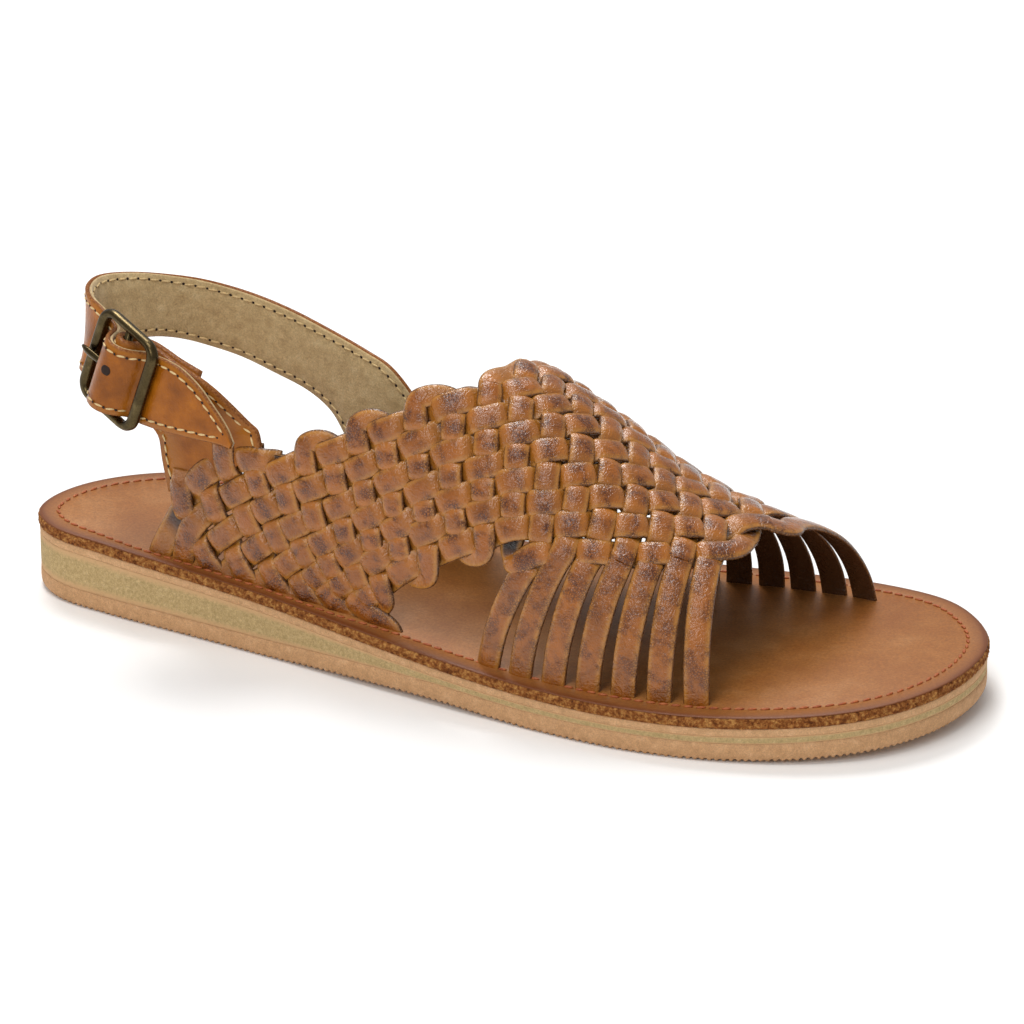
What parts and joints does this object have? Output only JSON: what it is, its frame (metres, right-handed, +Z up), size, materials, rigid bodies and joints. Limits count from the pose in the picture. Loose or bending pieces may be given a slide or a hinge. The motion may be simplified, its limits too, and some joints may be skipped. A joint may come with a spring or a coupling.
{
  "type": "huarache sandal",
  "caption": "Right woven leather huarache sandal: cross-woven vamp, open toe and heel, buckled sling-back strap, low layered wedge sole.",
  "frame": {"origin": "on the floor, under the middle of the sole's length and width", "axes": "+X to the toe, -Y to the outer side with the buckle, +Z up"},
  "size_m": [0.265, 0.0983, 0.089],
  "materials": {
    "outsole": "matte, fine vertical scuffs and a serrated lower edge",
    "wedge": "matte cellular foam",
    "midsole": "matte",
    "leather_midsole": "raw cut edge",
    "footbed": "smooth, satin, burnished at the edge",
    "upper": "glossy, slightly crinkled, burnished",
    "quarter_tab": "glossy, stitched along both edges",
    "sling_strap": "glossy outside, suede lining inside",
    "buckle_frame": "antiqued, worn bright on the edges",
    "buckle_prong": "antiqued"
  },
  "bodies": {
    "root": {"outsole": "outsole", "wedge": "wedge", "midsole": "midsole", "leather_midsole": "leather_midsole", "footbed": "footbed", "upper": "upper", "quarter_tab": "quarter_tab", "sling_strap": "sling_strap", "buckle_frame": "buckle_frame", "buckle_prong": "buckle_prong"}
  },
  "joints": []
}
